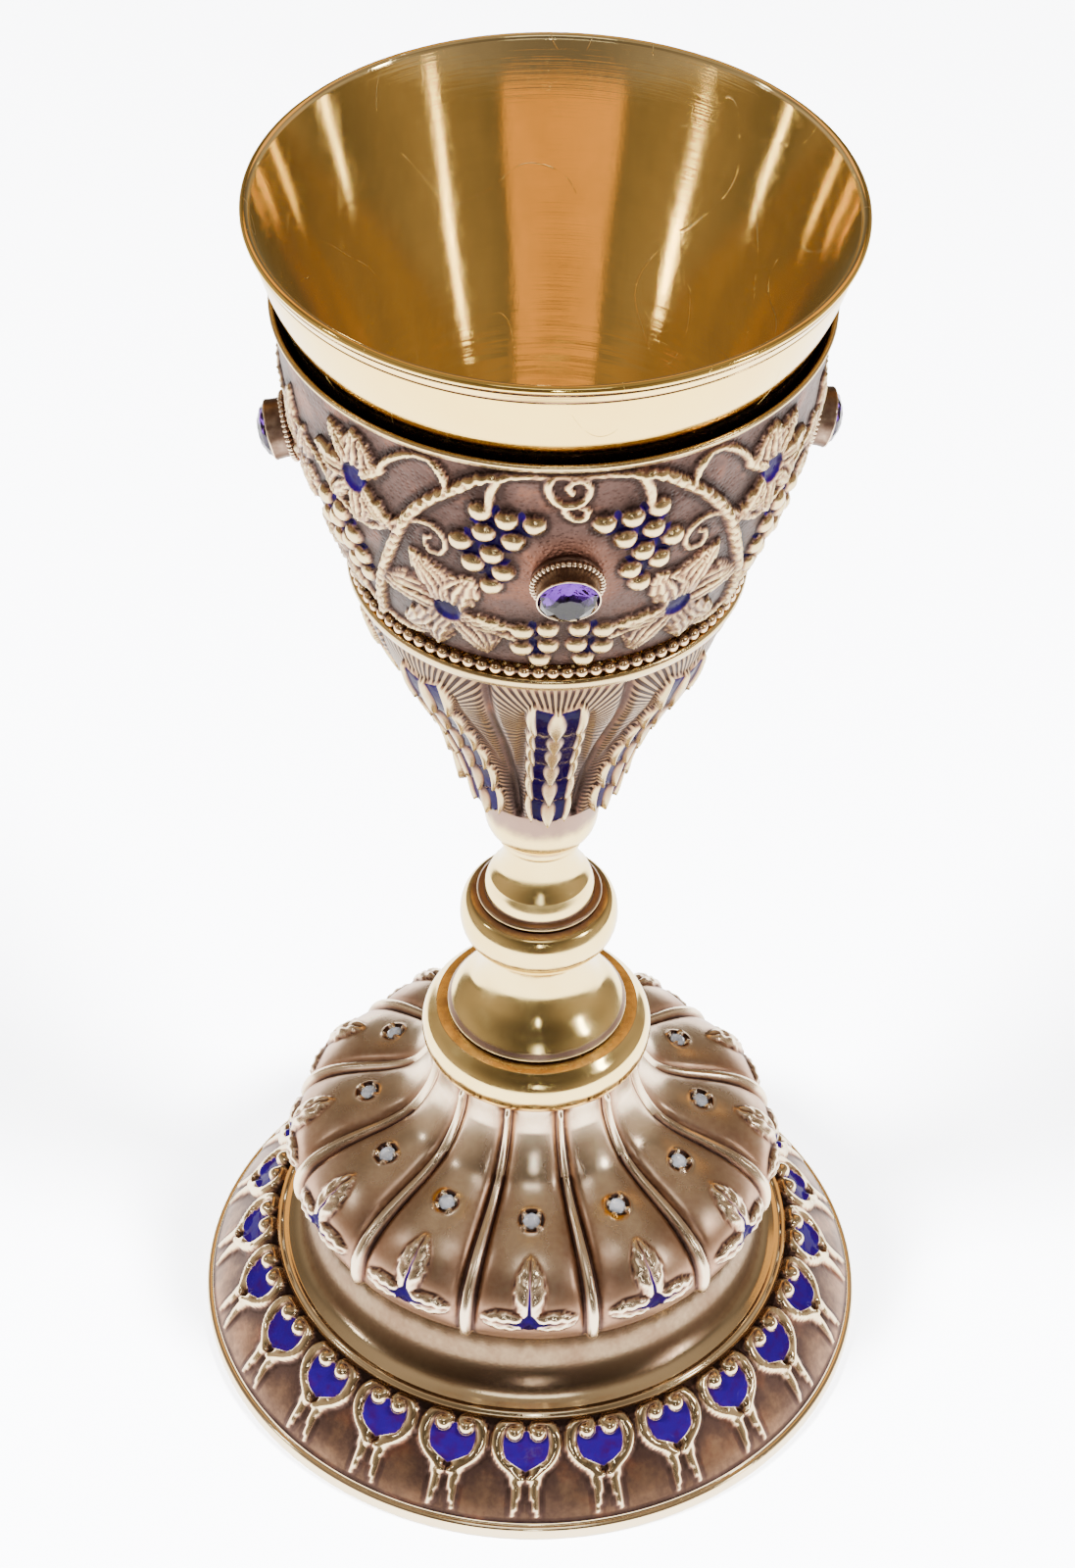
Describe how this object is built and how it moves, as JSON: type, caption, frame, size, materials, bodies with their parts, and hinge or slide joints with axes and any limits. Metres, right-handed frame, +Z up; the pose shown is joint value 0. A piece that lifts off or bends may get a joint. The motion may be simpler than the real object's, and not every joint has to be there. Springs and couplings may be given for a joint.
{
  "type": "chalice",
  "caption": "Silver-gilt chalice: a plain gilt cup in an embossed vine shell, a wheat-ear calyx, a turned stem and a gadrooned round foot.",
  "frame": {"origin": "middle of the circle that the foot rests on", "axes": "+Z up along the stem, -Y towards the front of the chalice, +X to its right as seen from the front"},
  "size_m": [0.1222, 0.1222, 0.245],
  "materials": {
    "polished_gilt": "mirror-polished fire gilding with fine wiping scratches",
    "pale_gilt": "polished pale gilding, turned, tarnished in the creases",
    "embossed_silver_gilt": "embossed and chased silver-gilt, raised parts pale and bright, stippled ground patinated purple-brown, blue enamel in the hollows",
    "coppery_gilt": "coppery gilding, bright on the beads and dark between",
    "foot_patina": "chased silver-gilt patinated brown with worn bright ridges, blue enamel in the hearts and leaves",
    "amethyst": "faceted purple stone",
    "brilliant": "small colourless faceted stone"
  },
  "bodies": {
    "root": {"Foot_base": "foot_patina", "Foot_dome": "foot_patina", "Brilliant_01": "brilliant", "Brilliant_02": "brilliant", "Brilliant_03": "brilliant", "Brilliant_04": "brilliant", "Brilliant_05": "brilliant", "Brilliant_06": "brilliant", "Brilliant_07": "brilliant", "Brilliant_08": "brilliant", "Brilliant_09": "brilliant", "Brilliant_10": "brilliant", "Brilliant_11": "brilliant", "Brilliant_12": "brilliant", "Foot_collar": "pale_gilt", "Stem_bell": "pale_gilt", "Stem_knop": "pale_gilt", "Stem_neck": "pale_gilt", "Stem_bulb": "pale_gilt", "Wheat_calyx": "embossed_silver_gilt", "Bead_ring": "coppery_gilt", "Vine_shell": "embossed_silver_gilt", "Cup": "polished_gilt", "Stone_setting_1": "coppery_gilt", "Amethyst_1": "amethyst", "Stone_setting_2": "coppery_gilt", "Amethyst_2": "amethyst", "Stone_setting_3": "coppery_gilt", "Amethyst_3": "amethyst", "Stone_setting_4": "coppery_gilt", "Amethyst_4": "amethyst"}
  },
  "joints": []
}
